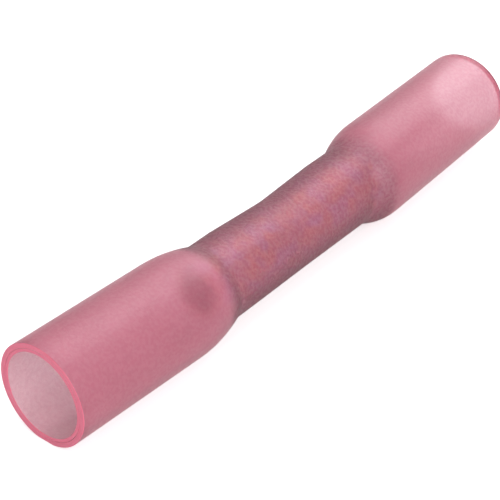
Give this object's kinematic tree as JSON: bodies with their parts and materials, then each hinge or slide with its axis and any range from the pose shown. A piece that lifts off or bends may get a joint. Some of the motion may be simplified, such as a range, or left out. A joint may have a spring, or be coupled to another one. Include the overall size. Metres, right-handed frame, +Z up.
{
  "type": "waterproof heat-shrink butt splice",
  "caption": "Waterproof crimp sleeve: a heat-shrink tube lined with hot-melt adhesive, shrunk over a metal crimp barrel and wide at both ends for the wires.",
  "frame": {"origin": "on the surface that the sleeve lies on, under the middle of its box", "axes": "+X along the barrel from the near end to the far end, +Z up"},
  "size_m": [0.0362, 0.0058, 0.0053],
  "materials": {
    "sleeve_film": "frosted translucent pink cross-linked polyolefin film, satin",
    "adhesive": "milky clear hot-melt adhesive, smooth",
    "tinned_copper": "tin-plated copper, dull"
  },
  "bodies": {
    "root": {"heat_shrink_sleeve": "sleeve_film", "adhesive_liner": "adhesive", "crimp_barrel": "tinned_copper"}
  },
  "joints": []
}
